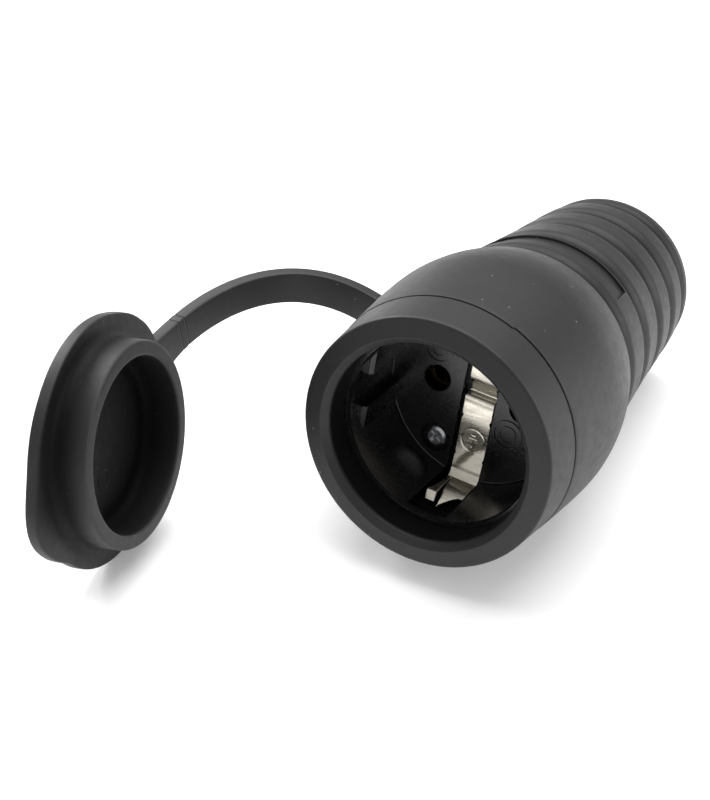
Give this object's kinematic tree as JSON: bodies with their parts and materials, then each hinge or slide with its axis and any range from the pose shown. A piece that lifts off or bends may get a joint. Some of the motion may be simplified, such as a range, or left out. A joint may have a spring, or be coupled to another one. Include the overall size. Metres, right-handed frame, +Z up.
{
  "type": "inline socket connector",
  "caption": "Rubber inline mains socket with side earth clips, ribbed grip and a plug-in sealing cap on a flexible strap.",
  "frame": {"origin": "centre of the bounding box at the surface the part lies on", "axes": "+Z up as the part lies; +Y from the socket's face towards the cable entry, tilted down about 8 degrees; +X to the right seen from the face, the cap lying at -X"},
  "size_m": [0.0922, 0.1496, 0.0573],
  "materials": {
    "rubber": "matte",
    "black_plastic": "satin",
    "grey_plastic": "satin",
    "brass": "satin",
    "steel": "zinc plated",
    "nickel": "nickel plated"
  },
  "bodies": {
    "housing": {"rubber_housing": "rubber", "contact_insert": "black_plastic", "terminal_carrier": "grey_plastic", "cord_clamp_bridge": "grey_plastic", "contact_sleeve_left": "brass", "contact_sleeve_right": "brass", "earth_terminal": "brass", "sleeve_spring_left": "steel", "sleeve_spring_right": "steel", "terminal_screw_left": "steel", "terminal_screw_right": "steel", "earth_terminal_screw": "steel", "insert_screw_lower": "steel", "insert_screw_upper": "steel", "insert_nut_lower": "steel", "insert_nut_upper": "steel", "clamp_screw_left": "steel", "clamp_screw_right": "steel", "earth_bracket": "nickel"},
    "strap": {"cap_strap": "rubber"},
    "cap": {"sealing_cap": "rubber"}
  },
  "joints": [
    {"name": "strap_bend", "type": "hinge", "parent": "housing", "child": "strap", "pos_m": [-0.01783, -0.00698, 0.0233], "axis": [-0.1641, 0.1325, 0.9775], "range_deg": [0, 83.8], "stiffness_Nm_per_rad": 0.001, "deforming": ["cap_strap"]},
    {"name": "cap_plug_in", "type": "slide", "parent": "strap", "child": "cap", "axis": [0.9807, 0.1289, 0.1471], "range_m": [0, 0.00705]}
  ]
}
